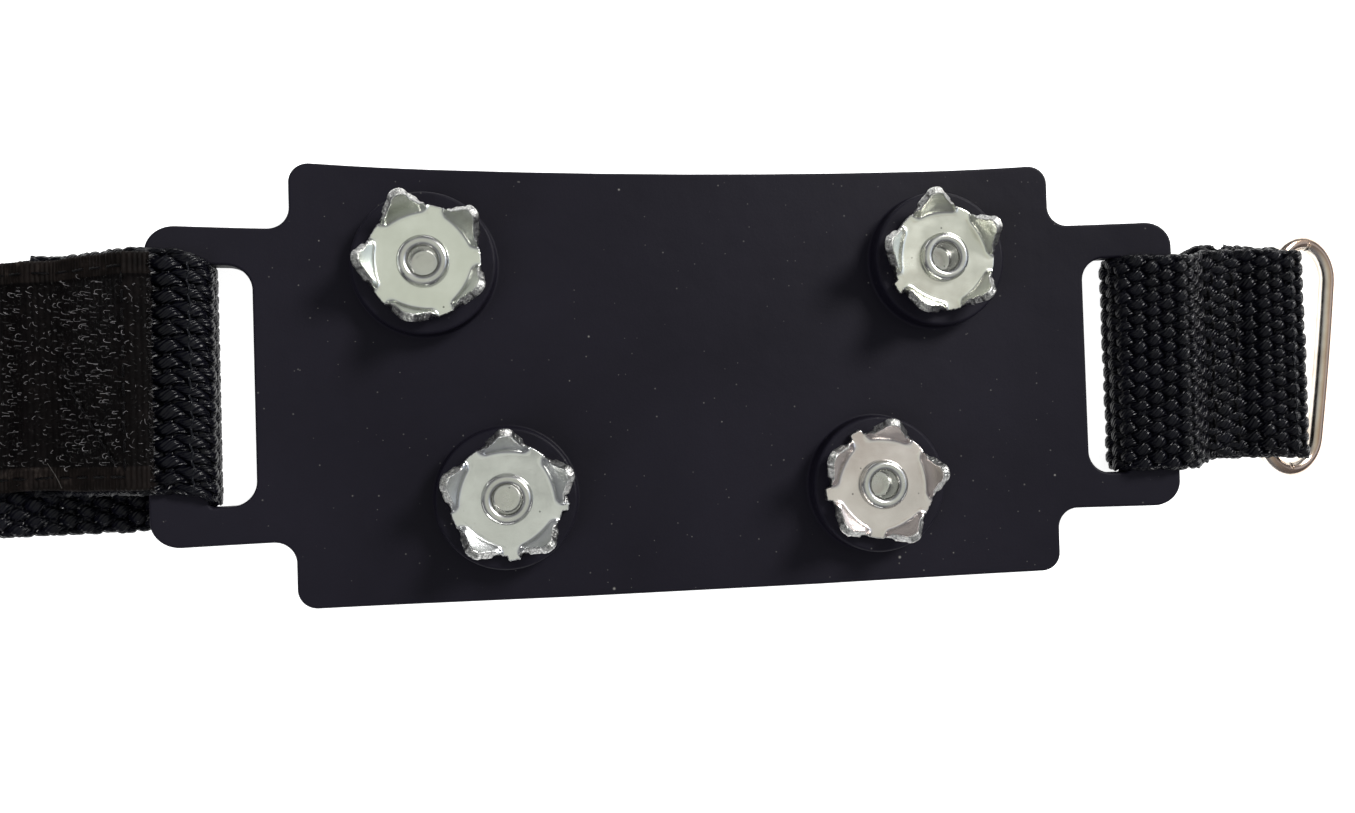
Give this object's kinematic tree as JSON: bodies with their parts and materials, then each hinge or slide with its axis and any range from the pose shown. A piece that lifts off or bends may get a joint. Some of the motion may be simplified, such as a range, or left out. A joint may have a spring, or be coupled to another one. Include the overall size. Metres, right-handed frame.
{
  "type": "shoe ice cleats",
  "caption": "Rubber plate with riveted, toothed steel crowns that straps under a shoe with hook-and-loop webbing drawn through a wire ring.",
  "frame": {"origin": "centre of the flat shoe-side face of the rubber plate", "axes": "+Z away from the shoe sole towards the ice, +X along the strap from its free end to the ring, +Y towards the side where the studs stand wide apart"},
  "size_m": [0.4016, 0.0585, 0.0119],
  "materials": {
    "plate_rubber": "matte, lightly dusted",
    "zinc_plated_steel": "bright zinc plate with sheared edges",
    "rivet_steel": "bright plated",
    "black_webbing": "coarse plain-woven polypropylene, bluish sheen",
    "hook_tape_nylon": "short bright filament hooks between ribbed selvedges",
    "loop_tape_nylon": "soft napped loops",
    "black_thread": "twisted polyester thread",
    "nickel_plated_wire": "polished nickel, warm tint"
  },
  "bodies": {
    "plate": {"rubber_plate": "plate_rubber", "wide_left_crown": "zinc_plated_steel", "wide_left_rivet": "rivet_steel", "wide_left_backing_washer": "rivet_steel", "wide_right_crown": "zinc_plated_steel", "wide_right_rivet": "rivet_steel", "wide_right_backing_washer": "rivet_steel", "narrow_left_crown": "zinc_plated_steel", "narrow_left_rivet": "rivet_steel", "narrow_left_backing_washer": "rivet_steel", "narrow_right_crown": "zinc_plated_steel", "narrow_right_rivet": "rivet_steel", "narrow_right_backing_washer": "rivet_steel", "strap_bar_wrap": "black_webbing", "tab_bar_wrap": "black_webbing"},
    "strap_base": {"strap_base_webbing": "black_webbing", "hook_tape": "hook_tape_nylon", "hook_tape_stitching": "black_thread"},
    "strap_middle": {"strap_middle_webbing": "black_webbing"},
    "strap_tip": {"strap_tip_webbing": "black_webbing", "loop_tape": "loop_tape_nylon", "loop_tape_stitching": "black_thread"},
    "ring_tab": {"ring_tab_webbing": "black_webbing", "ring_tab_stitching": "black_thread"},
    "ring": {"strap_ring": "nickel_plated_wire"}
  },
  "joints": [
    {"name": "strap_bend_at_plate", "type": "hinge", "parent": "plate", "child": "strap_base", "pos_m": [-0.071, 0, 0.0038], "axis": [0, -1, 0], "range_deg": [-40, 95]},
    {"name": "strap_bend_over_instep", "type": "hinge", "parent": "strap_base", "child": "strap_middle", "pos_m": [-0.1355, 0, 0.00085], "axis": [0, -1, 0], "range_deg": [-30, 90]},
    {"name": "strap_closing_fold", "type": "hinge", "parent": "strap_middle", "child": "strap_tip", "pos_m": [-0.1975, 0, 0.0037], "axis": [0, 1, 0], "range_deg": [0, 178]},
    {"name": "tab_bend_at_plate", "type": "hinge", "parent": "plate", "child": "ring_tab", "pos_m": [0.071, 0, 0.0038], "axis": [0, 1, 0], "range_deg": [-40, 95]},
    {"name": "ring_swing", "type": "hinge", "parent": "ring_tab", "child": "ring", "pos_m": [0.0872, 0.0015, 0.0035], "axis": [-0.1305, -0.9914, 0], "range_deg": [-130, 155]}
  ]
}
